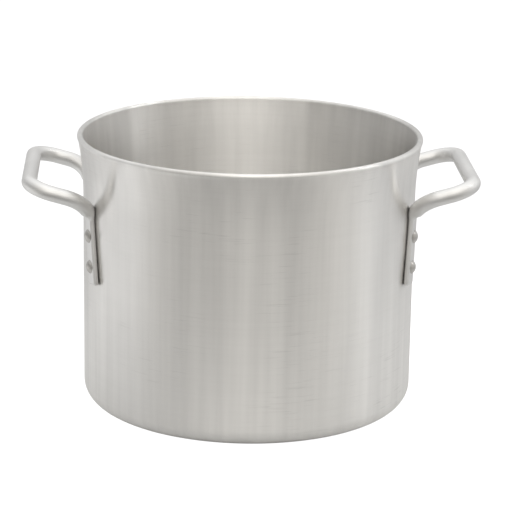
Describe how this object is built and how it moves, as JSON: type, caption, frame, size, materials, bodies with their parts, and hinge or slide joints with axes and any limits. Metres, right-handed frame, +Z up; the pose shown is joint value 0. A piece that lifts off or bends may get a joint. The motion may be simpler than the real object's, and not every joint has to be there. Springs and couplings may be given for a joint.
{
  "type": "stock pot",
  "caption": "Tall round aluminium stock pot with a flared, beaded rim and two riveted bent-bar loop handles.",
  "frame": {"origin": "centre of the flat base, on the surface that the pot stands on", "axes": "+Z up along the pot's axis; +X out through the right handle; -Y towards the front"},
  "size_m": [0.4498, 0.344, 0.273],
  "materials": {
    "spun_aluminium": "satin, spun",
    "handle_aluminium": "satin, tumbled",
    "rivet_aluminium": "satin, headed"
  },
  "bodies": {
    "root": {"pot_body": "spun_aluminium", "left_handle": "handle_aluminium", "right_handle": "handle_aluminium", "rivet_left_front_upper": "rivet_aluminium", "rivet_left_front_lower": "rivet_aluminium", "rivet_left_back_upper": "rivet_aluminium", "rivet_left_back_lower": "rivet_aluminium", "rivet_right_front_upper": "rivet_aluminium", "rivet_right_front_lower": "rivet_aluminium", "rivet_right_back_upper": "rivet_aluminium", "rivet_right_back_lower": "rivet_aluminium"}
  },
  "joints": []
}
